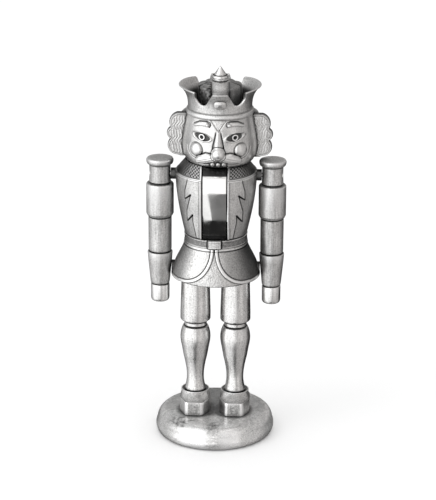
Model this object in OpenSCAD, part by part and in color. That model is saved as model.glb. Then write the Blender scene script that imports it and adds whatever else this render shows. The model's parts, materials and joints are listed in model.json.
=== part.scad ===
// Cast-metal king nutcracker: a standing figure whose jaw lever cracks nuts
// against the underside of its head. All sizes are millimetres. The figure
// faces -Y, its own left side is +X, and z = 0 is the table under its foot pad.

/* [Overall] */
// Height from the table to the tip of the finial
total_h = 250; // [250:1:262]
// Radius of the round plinth
base_r = 39.1; // [37:0.1:44]
// Height of the top of the plinth
base_h = 15.2; // [14:0.1:15.6]

/* [Body] */
// Radius of the jacket at the chest
chest_r = 26.2; // [25.6:0.1:26.4]
// Radius of the jacket at the waist
waist_r = 20.15; // [20:0.05:20.4]
// Radius of the skirt hem
hem_r = 28.5; // [27.6:0.1:28.6]
// Distance from the centre line to each leg
leg_x = 13.1; // [12.6:0.1:13.4]

/* [Arms] */
// Distance from the centre line to each arm
arm_x = 36.3; // [36.2:0.1:38]
// Height of the shoulder pivots
shoulder_z = 178.1; // [177.6:0.1:178.4]
// Radius of the sleeve band on the upper arm
band_r = 8.9; // [8.4:0.1:9]

/* [Jaw] */
// Width of the slot that the jaw lever works in
slot_w = 16.5; // [16:0.1:17]
// Width of the jaw lever
lever_w = 14.9; // [14:0.1:15.2]
// Distance of the jaw pivot behind the centre line
pivot_y = 4; // [3.5:0.1:4.5]
// Height of the jaw pivot
pivot_z = 168; // [167.5:0.1:168.5]
// Depth of the polished facing behind the jacket front
facing_recess = 1.2; // [1.1:0.05:1.4]

/* [Head] */
// Largest radius of the head
head_r = 24.05; // [23.6:0.05:24.3]
// Radius of the crown's flared rim
rim_r = 26.4; // [25.5:0.1:27]
// Half of the width across the hair
hair_x = 34; // [33:0.1:34.5]
// How far the head stands off the body's middle, towards the figure's left
head_x = 2.2; // [0:0.1:2.2]
// Turn of the crown on the head, in degrees towards the figure's left
crown_turn = 2.5; // [-3:0.5:3]

/* [Hidden] */
$fn = 64;

fit = 0.05;          // radial clearance of fixed pins, screws and spigots
run_fit = 0.05;      // radial clearance where a part turns
steps = 14;          // points along a curved outline

// Heights of the joints between the pieces, from the table up
pad_h = 1.4;
plate_h = 1.6;
boot_top = 29.2;
leg_top = 118;
pelvis_top = 122;
hem_z = 110.5;
belt_z = 133.8;
belt_top = 139.3;
chest_top = 180.8;
neck_top = 188.6;
head_z = 188.8;
head_wide_z = 200.5;
head_top = 220;
rim_z = total_h - 11.5;
cap_top = total_h - 9.4;

slot_floor = 130.5;
belt_r = 20.6;
neck_r = 17.5;
collar_top_r = 19.9;
spigot_r = 18;
facing_t = 1.6;

screw_r = 1.5;       // M3 screws and rods
stud_r = 2;          // M4 screws and studs
leg_stud_r = 2.5;    // M5 studs that tie the legs to the body
jaw_pin_r = 2.5;

hip_z = 114.9;
hip_stop_x = 28.6;   // face of the peg that the hanging cuff rests beside
arm_neck_r = 6.95;
sleeve_r = 7.5;
epaulette_z = 184.6;
band_top = 171.7;
band_bottom = 149.5;
cuff_top = 125.4;
hand_top = 103;
hand_bottom = 91;

pewter = [0.66, 0.66, 0.65];
dark_pewter = [0.38, 0.38, 0.38];
polished = [0.85, 0.86, 0.87];
steel = [0.72, 0.73, 0.75];

// Outline helpers: r as a function of z for each curved part
function mix(a, b, t) = a + (b - a) * t;
function jacket_r(z) = waist_r
    + (chest_r - waist_r) * sin(90 * min(1, max(0, (z - belt_top) / (chest_top - belt_top))));
function skirt_r(z) = mix(20.3, hem_r, pow(sin(90 * min(1, (belt_z - z) / (belt_z - hem_z))), 1.5));
function crown_r(z) = mix(20.5, rim_r, pow((z - 223.5) / (rim_z - 223.5), 2.6));
function head_low_r(z) = 20
    + (head_r - 20) * sqrt(max(0, 1 - pow((head_wide_z - z) / (head_wide_z - head_z), 2)));
function head_high_r(z) = head_r - 3.25 * pow((z - head_wide_z) / (head_top - head_wide_z), 1.2);
function outer_r(z) = z < head_wide_z ? head_low_r(z) : head_high_r(z);
function span(z0, z1, n = steps) = [for (i = [0:n]) mix(z0, z1, i / n)];

// A solid of revolution from a list of [r, z] points
module lathe(points) {
    rotate_extrude() polygon(points);
}

// A round bar along +Z between two heights
module bar(r, z0, z1) {
    translate([0, 0, z0]) cylinder(r = r, h = z1 - z0);
}

// A round bar along +X between two places
module cross_bar(r, x0, x1, y, z) {
    translate([x0, y, z]) rotate([0, 90, 0]) cylinder(r = r, h = x1 - x0);
}

// A box centred in X that spans y0..y1 and z0..z1
module slab(w, y0, y1, z0, z1) {
    translate([-w / 2, y0, z0]) cube([w, y1 - y0, z1 - z0]);
}

// A part and its mirror image across the middle of the figure
module both_sides() {
    children();
    mirror([1, 0, 0]) children();
}

// ---------- plinth ----------
base_wall = 3.4;
edge_r = 6.4;        // roll of the top edge

module base() {
    rim = base_r - 1.1;
    color(pewter) difference() {
        lathe(concat(
            [[0, 0.5], [base_r - 2.2, 0.5], [base_r - 0.9, 1.8], [base_r - 0.2, 3.6], [base_r, 5.4]],
            [for (a = [0:10:90]) [rim - edge_r + edge_r * cos(a), base_h - edge_r + edge_r * sin(a)]],
            [[0, base_h]]));
        lathe([[0, 0], [base_r - 5, 0], [base_r - 5, base_h - 6], [base_r - 8, base_h - base_wall],
            [0, base_h - base_wall]]);
        bar(base_r - 3, 0, pad_h + plate_h);
        both_sides() translate([leg_x, 0, 0]) bar(stud_r + fit, 0, base_h + 1);
    }
}

module base_plate() {
    color(steel) bar(base_r - 3.1, pad_h, pad_h + plate_h);
}

module base_pad() {
    color([0.13, 0.13, 0.14]) bar(base_r - 3.1, 0, pad_h);
}

module base_screws() {
    head_h = 2.4;
    color(steel) both_sides() translate([leg_x, 0, 0]) {
        bar(stud_r, base_h - base_wall - head_h, 48);
        bar(3.6, base_h - base_wall - head_h, base_h - base_wall);
    }
}

// ---------- boots and legs ----------
// Blocky boot with a chamfered toe; the toe points along -Y
module boot() {
    toe_top = 24.8;
    toe_y = -15.8;
    color(pewter) difference() {
        union() {
            sole = [[-10, -6], [-6.6, toe_y + 0.6], [-4.2, toe_y], [4.2, toe_y], [6.6, toe_y + 0.6],
                [10, -6], [10, 4], [6.5, 8.6], [-6.5, 8.6], [-10, 4]];
            translate([0, 0, base_h]) linear_extrude(toe_top - base_h) polygon(sole);
            hull() {
                translate([0, 0, toe_top - 0.1]) linear_extrude(0.1) polygon(sole);
                bar(7.6, boot_top - 0.1, boot_top);
            }
        }
        bar(stud_r + fit, base_h - 1, boot_top + 1);
    }
}

module left_boot() {
    translate([leg_x, 0, 0]) boot();
}

module right_boot() {
    translate([-leg_x, 0, 0]) boot();
}

// Turned leg: thigh, knee groove, calf and ankle
module leg() {
    calf = [[66.7, 9.9], [63.2, 9.65], [58.9, 8.9], [53.2, 7.85], [47.5, 6.6], [41.8, 5.75],
        [36.6, 5.6], [33.2, 6.1]];
    color(pewter) difference() {
        lathe(concat(
            [[0, leg_top], [9.3, leg_top], [9.85, 82], [9.7, 80], [8.9, 78.6], [7.3, 78.2], [7.3, 76.4]],
            [[8, 76.1], [8.1, 73.9], [7.7, 73.5], [8.6, 72.3], [9.5, 69.9]],
            [for (p = calf) [p[1], p[0]]],
            [[7.2, 30.4], [7.2, boot_top], [0, boot_top]]));
        bar(stud_r + fit, boot_top - 1, 50);
        bar(leg_stud_r + fit, 100, leg_top + 1);
    }
}

module left_leg() {
    translate([leg_x, 0, 0]) leg();
}

module right_leg() {
    translate([-leg_x, 0, 0]) leg();
}

module leg_studs() {
    color(steel) both_sides() translate([leg_x, 0, 0]) bar(leg_stud_r, 102, 127.5);
}

// ---------- skirt ----------
coat_t = 0.9;        // how far the coat stands proud of the tunic
skirt_wall = 2.6;
flap_x = 22.5;       // centre of each rounded coat front
flap_r = 21;

// Region of the front, seen square on, where the coat is cut away
module cutaway() {
    rotate([90, 0, 0]) linear_extrude(40) difference() {
        translate([-flap_x, hem_z - 5]) square([2 * flap_x, belt_z - hem_z + 5]);
        for (s = [-1, 1]) translate([s * flap_x, 133]) circle(r = flap_r);
    }
}

module skirt() {
    zs = span(belt_z, hem_z);
    color(pewter) difference() {
        union() {
            lathe(concat([[0, belt_z]], [for (z = zs) [skirt_r(z) - coat_t, z]], [[0, hem_z]]));
            difference() {
                lathe(concat(
                    [[spigot_r + 1, belt_z]], [for (z = zs) [skirt_r(z), z]], [[spigot_r + 1, hem_z]]));
                cutaway();
            }
        }
        lathe(concat(
            [[0, 118]], [for (z = span(118, hem_z, 6)) [skirt_r(z) - coat_t - skirt_wall, z]], [[0, hem_z]]));
        bar(spigot_r + fit, pelvis_top, belt_z + 1);
        translate([0, 0, hem_z - 1]) bar(skirt_r(hem_z) - coat_t - skirt_wall, 0, 1.01);
        both_sides() translate([leg_x, 0, 0]) bar(leg_stud_r + fit, 110, pelvis_top + 1);
        both_sides() cross_bar(1.6 + fit, 20, 32, 0, hip_z);
    }
}

module hip_stop() {
    color(dark_pewter) {
        cross_bar(1.6, 23.4, skirt_r(hip_z) - 0.6, 0, hip_z);
        difference() {
            cross_bar(3.9, skirt_r(hip_z) - 2.5, hip_stop_x, 0, hip_z);
            lathe(concat(
                [[0, 125]], [for (z = span(125, hem_z - 1)) [skirt_r(z) + 0.01, z]], [[0, hem_z - 1]]));
        }
        cross_bar(1.6, skirt_r(hip_z) - 0.7, hip_stop_x, 0, hip_z);
    }
}

// ---------- torso ----------
// Jacket with a neck block above and a spigot below, split by the jaw slot
module torso() {
    color(pewter) difference() {
        lathe(concat(
            [[0, pelvis_top], [spigot_r, pelvis_top], [spigot_r, belt_z], [19.2, belt_z], [19.2, belt_top]],
            [for (z = span(belt_top, chest_top)) [jacket_r(z), z]],
            [[neck_r, chest_top], [neck_r, neck_top], [0, neck_top]]));
        slab(slot_w, -40, 40, slot_floor, neck_top + 1);
        cross_bar(jaw_pin_r + 0.02, -40, 40, pivot_y, pivot_z);
        both_sides() cross_bar(screw_r + fit, 12.5, 40, 0, shoulder_z);
        both_sides() cross_bar(3.7 + fit, chest_r - 1.4, 40, 0, shoulder_z);
        both_sides() translate([leg_x, 0, 0]) bar(leg_stud_r + fit, pelvis_top - 1, 128);
        head_screw_places() bar(screw_r + fit, 173, neck_top + 1);
    }
}

module belt() {
    color(dark_pewter) lathe([[19.25, belt_z], [belt_r - 0.4, belt_z], [belt_r, belt_z + 0.4],
        [belt_r, belt_top - 0.4], [belt_r - 0.4, belt_top], [19.25, belt_top]]);
}

module belt_buckle() {
    color(pewter) intersection() {
        lathe([[belt_r + 0.02, belt_z + 0.1], [belt_r + 1.1, belt_z + 0.1],
            [belt_r + 1.1, belt_top - 0.1], [belt_r + 0.02, belt_top - 0.1]]);
        slab(9.8, -30, 0, belt_z, belt_top);
    }
}

module collar() {
    bead_r = 0.7;
    color(dark_pewter) difference() {
        lathe([[neck_r + fit, chest_top], [chest_r - 0.2, chest_top], [chest_r + 0.3, chest_top + bead_r],
            [chest_r - 0.2, chest_top + 2 * bead_r], [collar_top_r, head_z - 0.1],
            [neck_r + fit, head_z - 0.1]]);
        slab(slot_w, -40, 40, chest_top - 1, head_z + 1);
        both_sides() cross_bar(3.9, 20, 40, 0, shoulder_z);
    }
}

// ---------- jaw ----------
jaw_top = head_z - 0.5;
facing_bend = 182.6;     // above this height the facing leans back like the collar
facing_bottom = belt_top + 1;
handle_tip = 92;
handle_y = base_r;       // the handle reaches no further back than the plinth

function facing_r(z) = z < facing_bend ? jacket_r(z) - facing_recess
    : mix(chest_r - facing_recess, collar_top_r - 0.8, (z - facing_bend) / (jaw_top - facing_bend));

// Polished plate that shows in the jacket's slot
module jaw_facing() {
    zs = span(facing_bottom, jaw_top);
    color(polished) intersection() {
        lathe(concat(
            [for (z = zs) [facing_r(z), z]],
            [for (i = [len(zs) - 1:-1:0]) [facing_r(zs[i]) - facing_t, zs[i]]]));
        slab(lever_w, -40, 0, facing_bottom - 1, jaw_top + 1);
    }
}

// Side outline of the lever: jaw block in front, neck through the slot, handle down the back
module lever_side() {
    polygon(concat(
        [[-26, jaw_top], [-6, jaw_top], [4, 178.5], [16, 175], [26, 174.6]],
        [for (a = [90:-15:0]) [27.5 + 9.5 * cos(a), 165.1 + 9.5 * sin(a)]],
        [[37, 146], [35.8, 122], [36.6, 106], [handle_y, handle_tip + 1.5], [handle_y - 1, handle_tip]],
        [[handle_y - 3.2, handle_tip + 0.6]],
        [[33, 106], [31.8, 122], [31.6, 146], [31.2, 154], [29, 159.5], [24, 161], [4, 160.5], [-6, 152]],
        [[-8, facing_bottom], [-26, facing_bottom]]));
}

// Front outline of the lever: a straight bar that widens to a paddle low on the back
module lever_front() {
    half = lever_w / 2;
    polygon([[-half, 200], [-half, 152], [-5.6, 142], [-6.4, 122], [-10, 108], [-10.6, 98], [-7, handle_tip - 1],
        [7, handle_tip - 1], [10.6, 98], [10, 108], [6.4, 122], [5.6, 142], [half, 152], [half, 200]]);
}

module jaw_lever() {
    zs = span(facing_bottom, jaw_top);
    color(pewter) difference() {
        intersection() {
            rotate([90, 0, 90]) translate([0, 0, -15]) linear_extrude(30) lever_side();
            rotate([90, 0, 0]) translate([0, 0, -60]) linear_extrude(120) lever_front();
            union() {
                lathe(concat(
                    [[0, facing_bottom]], [for (z = zs) [facing_r(z) - facing_t - 0.02, z]], [[0, jaw_top]]));
                slab(40, 0, 60, handle_tip - 5, 200);
            }
        }
        cross_bar(jaw_pin_r + run_fit, -20, 20, pivot_y, pivot_z);
    }
}

module jaw_pin() {
    half = sqrt(pow(jacket_r(pivot_z), 2) - pow(pivot_y + jaw_pin_r, 2)) - 0.3;
    color(steel) cross_bar(jaw_pin_r, -half, half, pivot_y, pivot_z);
}

module jaw_washers() {
    gap = 0.08;
    color(steel) both_sides() difference() {
        cross_bar(4.6, lever_w / 2 + gap, slot_w / 2 - gap, pivot_y, pivot_z);
        cross_bar(jaw_pin_r + fit, 0, 20, pivot_y, pivot_z);
    }
}

// ---------- head ----------
head_floor = 196;
cavity_r = 17.6;

// The head and all it carries, moved off the body's middle
module on_head() {
    translate([head_x, 0, 0]) children();
}

module head_screw_places() {
    for (x = [-10.9, 10.9], y = [-6.8, 6.8]) translate([x, y, 0]) children();
}

// Nose, moustache, cheeks and upper teeth, all on the front of the head
module face() {
    translate([0, -24.6, 200]) sphere(r = 4.6);
    translate([0, -22.2, 212.5]) rotate([169, 0, 0]) cylinder(r1 = 1.8, r2 = 3.2, h = 12);
    both_sides() {
        translate([3.4, -23.2, 197.4]) rotate([0, 102, -18]) cylinder(r1 = 3.1, r2 = 1, h = 12.6);
        translate([15.2, -16.6, 203]) sphere(r = 4.4);
    }
    for (x = [-3.6, 0, 3.6]) translate([x, -20.8, 191.8]) sphere(r = 2.1);
}

module head() {
    zs = concat(span(head_z, head_wide_z, 10), span(head_wide_z + 1, head_top, 8));
    color(pewter) difference() {
        on_head() difference() {
            union() {
                lathe(concat([[0, head_z]], [for (z = zs) [outer_r(z), z]], [[0, head_top]]));
                face();
            }
            bar(cavity_r, head_floor, head_top + 1);
        }
        head_screw_places() bar(screw_r + fit, head_z - 1, head_floor + 1);
    }
    color(pewter) on_head() difference() {
        bar(4.5, head_floor - 1, 206);
        bar(stud_r + fit, 197, 207);
    }
}

module head_screws() {
    color(steel) head_screw_places() {
        bar(screw_r, 174, head_floor);
        bar(2.7, head_floor, head_floor + 1.8);
    }
}

// Scalloped wings beside the face, and a close cap of hair round the back
module hair() {
    color(pewter) difference() {
        union() {
            both_sides() intersection() {
                rotate([90, 0, 0]) translate([0, 0, -3]) linear_extrude(6.2) {
                    translate([hair_x - 8.6, 212.6]) circle(r = 7);
                    translate([hair_x - 4.4, 205.6]) circle(r = 4.4);
                    translate([hair_x - 6.8, 197.4]) circle(r = 6.3);
                    polygon([[15, 190.6], [26, 191.2], [30, 196], [30, 212], [24, 219.4], [15, 219.4]]);
                }
                slab(80, -10, 20, 190.4, 219.4);
            }
            rotate_extrude(angle = 180) polygon(concat(
                [[15, 190.4], [24.6, 190.4]],
                [for (a = [-80:20:80]) [25.6 + 2.2 * cos(a), 196.2 + 5 * sin(a)]],
                [for (a = [-80:20:80]) [25.4 + 2.2 * cos(a), 206.6 + 5 * sin(a)]],
                [[24.6, 212], [23.6, 219.4], [15, 219.4]]));
        }
        lathe(concat([[0, head_z - 1]], [for (z = span(head_z - 1, head_wide_z, 10)) [outer_r(z) + 0.04, z]],
            [for (z = span(head_wide_z + 1, head_top, 8)) [outer_r(z) + 0.04, z]], [[0, head_top]]));
    }
}

// ---------- crown ----------
crown_wall = 1.7;
notch_x = 10.9;      // middle of each notch, which is cut straight through from front to back
notch_r = 5.45;
notch_z = 234.3;
gem_z = 230;
gem_r = 4.1;
gem_peg_r = 1.1;

module notch() {
    rotate([90, 0, 0]) translate([0, 0, -40]) linear_extrude(80) {
        translate([notch_x, notch_z]) circle(r = notch_r);
        translate([notch_x - notch_r, notch_z]) square([2 * notch_r, 10]);
    }
}

module crown() {
    zs = span(224, rim_z);
    color(pewter) difference() {
        lathe(concat(
            [[2.2, head_top], [2.2, 222.4], [18.8, 222.4], [18.8, 224]],
            [for (z = zs) [crown_r(z) - crown_wall, z]],
            [for (i = [len(zs) - 1:-1:0]) [crown_r(zs[i]), zs[i]]],
            [[21.4, 223.4], [21.7, 222], [21.4, 220.6], [20.8, head_top]]));
        rotate([0, 0, crown_turn]) {
            both_sides() notch();
            translate([0, 0, gem_z]) rotate([90, 0, 0]) cylinder(r = gem_peg_r + fit, h = 40);
        }
    }
}

// Domed boss on the front petal, with a peg through the crown's wall
module crown_gem() {
    color(pewter) {
        difference() {
            rotate([0, 0, crown_turn]) translate([0, -20.9, gem_z]) sphere(r = gem_r);
            lathe(concat(
                [[0, 220]], [for (z = span(220, rim_z, 20)) [crown_r(max(z, 223.5)) + 0.04, z]], [[0, rim_z]]));
        }
        rotate([0, 0, crown_turn]) translate([0, -19.7, gem_z]) rotate([90, 0, 0])
            cylinder(r = gem_peg_r, h = 3);
    }
}

// Puffed cap inside the crown
module crown_cap() {
    color(pewter) difference() {
        lathe(concat(
            [[0, 222.45], [13.2, 222.45], [14.4, 225], [14.8, 232]],
            [for (a = [0:15:90]) [10.8 + 4 * cos(a), 234.6 + 3.8 * sin(a)]],
            [[5.2, cap_top], [0, cap_top]]));
        bar(stud_r + fit, 222, cap_top + 1);
    }
}

module finial() {
    color(polished) difference() {
        lathe([[0, cap_top], [5, cap_top], [5.3, cap_top + 0.8], [5.2, cap_top + 2.6], [4.8, cap_top + 3.2],
            [3.7, cap_top + 3.3], [0, total_h]]);
        bar(stud_r + fit, cap_top - 1, cap_top + 4.6);
    }
}

module finial_stud() {
    color(steel) bar(stud_r, 198, cap_top + 4.4);
}

// ---------- arms ----------
bush_r = 3.7;
bush_in = 1.3;       // depth of the bush's seat in the jacket
screw_head_r = 2.7;
head_seat = 5;       // from the arm's axis out to the seat of the screw head

module shoulder_bush() {
    color(dark_pewter) difference() {
        cross_bar(bush_r, chest_r - bush_in, arm_x - arm_neck_r - 0.1, 0, shoulder_z);
        cross_bar(screw_r + fit, 0, 60, 0, shoulder_z);
    }
}

module shoulder_screw() {
    color(steel) {
        cross_bar(screw_r, 13, arm_x + head_seat + 0.1, 0, shoulder_z);
        cross_bar(screw_head_r, arm_x + head_seat + 0.1, arm_x + head_seat + 1.6, 0, shoulder_z);
    }
}

module epaulette() {
    top = 188.9;
    color(pewter) translate([arm_x, 0, 0]) {
        lathe([[0, epaulette_z], [7.4, epaulette_z], [8.2, epaulette_z + 0.9], [8.7, epaulette_z + 2.2],
            [8.75, top - 1.4], [8.4, top - 0.6], [7.4, top - 0.1], [6.6, top], [0, top]]);
        bar(3, 181.4, epaulette_z + 0.5);
    }
}

// Turned arm: neck under the epaulette, sleeve band and lower sleeve
module arm() {
    color(pewter) difference() {
        translate([arm_x, 0, 0]) difference() {
            lathe([[0, epaulette_z], [7.2, epaulette_z], [arm_neck_r, epaulette_z - 0.6], [arm_neck_r, band_top + 1],
                [arm_neck_r - 0.3, band_top], [band_r - 0.5, band_top], [band_r, band_top - 0.7],
                [band_r, band_bottom + 1.6], [band_r - 0.7, band_bottom], [sleeve_r - 0.2, band_bottom],
                [sleeve_r, band_bottom - 0.5], [sleeve_r, cuff_top], [0, cuff_top]]);
            bar(3 + fit, 181.2, epaulette_z + 1);
            bar(screw_r + fit, cuff_top - 1, 162.5);
        }
        cross_bar(screw_r + run_fit, 0, 60, 0, shoulder_z);
        cross_bar(screw_head_r + run_fit, arm_x + head_seat, 60, 0, shoulder_z);
    }
}

module cuff() {
    color(pewter) translate([arm_x, 0, 0]) difference() {
        lathe([[0, cuff_top], [7.7, cuff_top], [8.1, cuff_top - 0.5], [6.1, hand_top + 1], [5.5, hand_top + 0.4],
            [5.5, hand_top], [0, hand_top]]);
        bar(screw_r + fit, hand_top - 1, cuff_top + 1);
    }
}

module hand() {
    tip_r = 2.2;
    color(pewter) translate([arm_x, 0, 0]) difference() {
        lathe(concat(
            [[0, hand_top], [5.6, hand_top], [6.05, hand_top - 0.6], [6.05, hand_bottom + tip_r]],
            [for (a = [-15:-15:-90]) [6.05 - tip_r + tip_r * cos(a), hand_bottom + tip_r + tip_r * sin(a)]],
            [[0, hand_bottom]]));
        bar(screw_r + fit, 95, hand_top + 1);
    }
}

module arm_rod() {
    color(steel) translate([arm_x, 0, 0]) bar(screw_r, 95.5, 162);
}

base();
base_plate();
base_pad();
base_screws();
left_boot();
right_boot();
left_leg();
right_leg();
leg_studs();
skirt();
torso();
belt();
belt_buckle();
collar();
jaw_lever();
jaw_facing();
jaw_pin();
jaw_washers();
head();
head_screws();
on_head() hair();
on_head() crown();
on_head() crown_gem();
on_head() crown_cap();
on_head() finial();
on_head() finial_stud();
shoulder_bush();  // left_shoulder_bush
mirror([1, 0, 0]) shoulder_bush();  // right_shoulder_bush
shoulder_screw();  // left_shoulder_screw
mirror([1, 0, 0]) shoulder_screw();  // right_shoulder_screw
hip_stop();  // left_hip_stop
mirror([1, 0, 0]) hip_stop();  // right_hip_stop
epaulette();  // left_epaulette
mirror([1, 0, 0]) epaulette();  // right_epaulette
arm();  // left_arm
mirror([1, 0, 0]) arm();  // right_arm
cuff();  // left_cuff
mirror([1, 0, 0]) cuff();  // right_cuff
hand();  // left_hand
mirror([1, 0, 0]) hand();  // right_hand
arm_rod();  // left_arm_rod
mirror([1, 0, 0]) arm_rod();  // right_arm_rod
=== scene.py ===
"""The looks of a cast-metal king nutcracker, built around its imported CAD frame.

Lengths inside the shape functions are millimetres; a piece is scaled to metres when its mesh is made.
The figure faces -Y, its own left side is +X and z = 0 is the table."""

import json
import math
from math import pi, radians

import bmesh
import bpy
import numpy as np
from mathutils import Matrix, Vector


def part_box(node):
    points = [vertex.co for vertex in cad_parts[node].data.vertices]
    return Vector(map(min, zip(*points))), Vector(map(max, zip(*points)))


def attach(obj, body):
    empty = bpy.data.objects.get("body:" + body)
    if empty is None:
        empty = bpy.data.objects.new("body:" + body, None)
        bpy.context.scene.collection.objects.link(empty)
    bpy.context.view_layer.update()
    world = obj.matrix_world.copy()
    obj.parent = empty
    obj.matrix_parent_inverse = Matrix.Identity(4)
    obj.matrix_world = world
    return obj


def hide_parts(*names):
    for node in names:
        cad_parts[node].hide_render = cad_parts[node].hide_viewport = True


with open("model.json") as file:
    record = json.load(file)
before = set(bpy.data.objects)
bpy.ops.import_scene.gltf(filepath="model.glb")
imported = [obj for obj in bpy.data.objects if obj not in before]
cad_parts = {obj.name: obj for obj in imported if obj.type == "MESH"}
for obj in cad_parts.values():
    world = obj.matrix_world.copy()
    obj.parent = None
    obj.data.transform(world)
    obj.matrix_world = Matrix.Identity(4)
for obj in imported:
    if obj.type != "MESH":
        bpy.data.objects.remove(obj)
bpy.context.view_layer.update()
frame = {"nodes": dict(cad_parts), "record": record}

MM = 0.001
FIGURE, JAW = "figure", "jaw"
SIDES = ("left", "right")


def low(node):
    return np.array(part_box(node)[0]) / MM


def high(node):
    return np.array(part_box(node)[1]) / MM


def span(node, axis=2):
    return low(node)[axis], high(node)[axis]


def middle_x(node):
    return sum(span(node, 0)) / 2


# --- sizes, taken from the frame ---
BASE_R, BASE_TOP = high("base")[0], high("base")[2]
PLATE_R = high("base_plate")[0]
LEG_X, (BOOT_TOP, LEG_TOP) = middle_x("left_leg"), span("left_leg")
LEG_R, BOOT_HALF = high("left_leg")[0] - LEG_X, high("left_boot")[0] - LEG_X
TOE_Y, HEEL_Y = span("left_boot", 1)
HEM_R, HEM_Z = high("skirt")[0], low("skirt")[2]
BELT_R, (BELT_LOW, BELT_TOP) = high("belt")[0], span("belt")
WAIST_R, SPIGOT_LOW = BELT_R - 0.45, low("torso")[2]
COLLAR_LOW, COLLAR_TOP = span("collar")
FACING_LOW, FACING_TOP = span("jaw_facing")
FACING_HALF, FACING_R = high("jaw_facing")[0], -low("jaw_facing")[1]
RECESS = 1.2
CHEST_R = FACING_R + RECESS
SLOT_HALF, SLOT_FLOOR = 8.25, 130.5
BORE_R, NECK_R, COLLAR_TOP_R = 17.55, 17.45, 19.85   # inside the collar; the jacket's neck; the collar's top
SKIRT_TOP_R, SPIGOT_R = 20.3, 18
HEAD_X, (HEAD_Z, HEAD_TOP) = middle_x("crown"), span("head")
HEAD_R, HEAD_WIDE_Z, CHIN_R, BROW_IN, NECK_REST_R = 24.05, 200.5, 20, 3.25, 19.4
HAIR_X, (HAIR_LOW, HAIR_TOP) = high("hair")[0] - HEAD_X, span("hair")
RIM_R, RIM_Z = high("crown")[0] - HEAD_X, high("crown")[2]
CROWN_FOOT_R, CROWN_FOOT_Z, CROWN_WALL = 20.5, 223.5, 1.75
CAP_LOW, CAP_TOP = span("crown_cap")
TIP = high("finial")[2]
ARM_X, (CUFF_TOP, EPAULETTE_LOW) = middle_x("left_arm"), span("left_arm")
BAND_R, EPAULETTE_TOP = high("left_arm")[0] - ARM_X, high("left_epaulette")[2]
HAND_LOW, HAND_TOP = span("left_hand")
HANDLE_Y, HANDLE_LOW = high("jaw_lever")[1], low("jaw_lever")[2]


# --- curves and heights ---
def smooth(start, end, value):
    t = np.clip((value - start) / (end - start), 0, 1)
    return t * t * (3 - 2 * t)


def ridge(distance, width):
    return np.exp(-((distance / width) ** 2))


def bulge(distance, half):
    """Half-round profile of a bead, 1 in its middle and 0 beyond its half width."""
    return np.sqrt(np.clip(1 - (distance / half) ** 2, 0, 1))


def joined(*columns):
    """Points out of their coordinates, each of which may be a number for all of them."""
    return np.stack(np.broadcast_arrays(*columns), -1)


def around(r, a, z):
    """Points at radius r and height z, turned by a from straight ahead towards the figure's left."""
    return joined(r * np.sin(a), -r * np.cos(a), z)


def circle(count):
    return np.linspace(0, 2 * pi, count, endpoint=False)


def squared(wave, power):
    """A sine or cosine pushed towards the corners of a square."""
    return np.sign(wave) * np.abs(wave) ** power


def dome(q, power=0.5):
    """Height of a rounded boss over q, which runs from 0 in its middle to 1 at its edge."""
    return np.clip(1 - q, 0, None) ** power


def oval(x, z, centre, half):
    return ((x - centre[0]) / half[0]) ** 2 + ((z - centre[1]) / half[1]) ** 2


def stroke(x, z, points, widths):
    """Distance from a chain of lines, as a share of the stroke's half width there."""
    best = np.full(np.shape(x), 1e9)
    for k in range(len(points) - 1):
        (ax, az), (bx, bz) = points[k], points[k + 1]
        dx, dz = bx - ax, bz - az
        t = np.clip(((x - ax) * dx + (z - az) * dz) / (dx * dx + dz * dz), 0, 1)
        width = widths[k] + (widths[k + 1] - widths[k]) * t
        best = np.minimum(best, np.hypot(x - ax - t * dx, z - az - t * dz) / width)
    return best


def line(x, z, points):
    return stroke(x, z, points, [1.0] * len(points))


def noise(points, cell, seed=0):
    """Smooth value noise in -1..1 with features about one cell across."""
    q = np.asarray(points) / cell + 31.7 * seed + 1000
    base = np.floor(q).astype(np.int64)
    f = q - base
    f = f * f * (3 - 2 * f)
    total = np.zeros(q.shape[:-1])
    for corner in range(8):
        step = np.array([corner & 1, corner >> 1 & 1, corner >> 2 & 1])
        c = base + step
        n = c[..., 0] * 374761393 + c[..., 1] * 668265263 + c[..., 2] * 1274126177
        n = ((n ^ (n >> 13)) * 1103515245) & 0x7FFFFFFF
        n = (n ^ (n >> 15)) & 0xFFFF
        total += n / 65535.0 * np.prod(np.where(step, f, 1 - f), axis=-1)
    return total * 2 - 1


def rounded(points, radius=0.4, steps=4):
    """An outline with its corners eased. A point may carry its own radius as a third number."""
    out = [points[0][:2]]
    for before, here, after in zip(points, points[1:], points[2:]):
        p = np.array(here[:2], float)
        r = here[2] if len(here) > 2 else radius
        a, b = np.array(before[:2]) - p, np.array(after[:2]) - p
        la, lb = np.hypot(*a), np.hypot(*b)
        turn = math.acos(max(-1, min(1, float(a @ b) / (la * lb))))
        reach = min(r / max(math.tan(turn / 2), 1e-6), 0.45 * la, 0.45 * lb)
        start, end = p + a / la * reach, p + b / lb * reach
        for t in np.linspace(0, 1, steps + 1):
            out.append(tuple((1 - t) ** 2 * start + 2 * t * (1 - t) * p + t * t * end))
    out.append(points[-1][:2])
    return np.array(out, float)


def spline(points, per_span=6):
    """A smooth curve through points of any dimension (Catmull-Rom)."""
    p = np.array(points, float)
    p = np.vstack([2 * p[0] - p[1], p, 2 * p[-1] - p[-2]])
    out = []
    for k in range(1, len(p) - 2):
        for t in np.arange(per_span) / per_span:
            a, b, c, d = p[k - 1], p[k], p[k + 1], p[k + 2]
            out.append(0.5 * (2 * b + (c - a) * t + (2 * a - 5 * b + 4 * c - d) * t**2
                              + (3 * b - a - 3 * c + d) * t**3))
    out.append(p[-2])
    return np.array(out)


# --- outlines shared with the frame ---
def jacket_r(z):
    t = np.clip((z - BELT_TOP) / (COLLAR_LOW - BELT_TOP), 0, 1)
    return WAIST_R + (CHEST_R - WAIST_R) * np.sin(pi / 2 * t)


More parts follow.
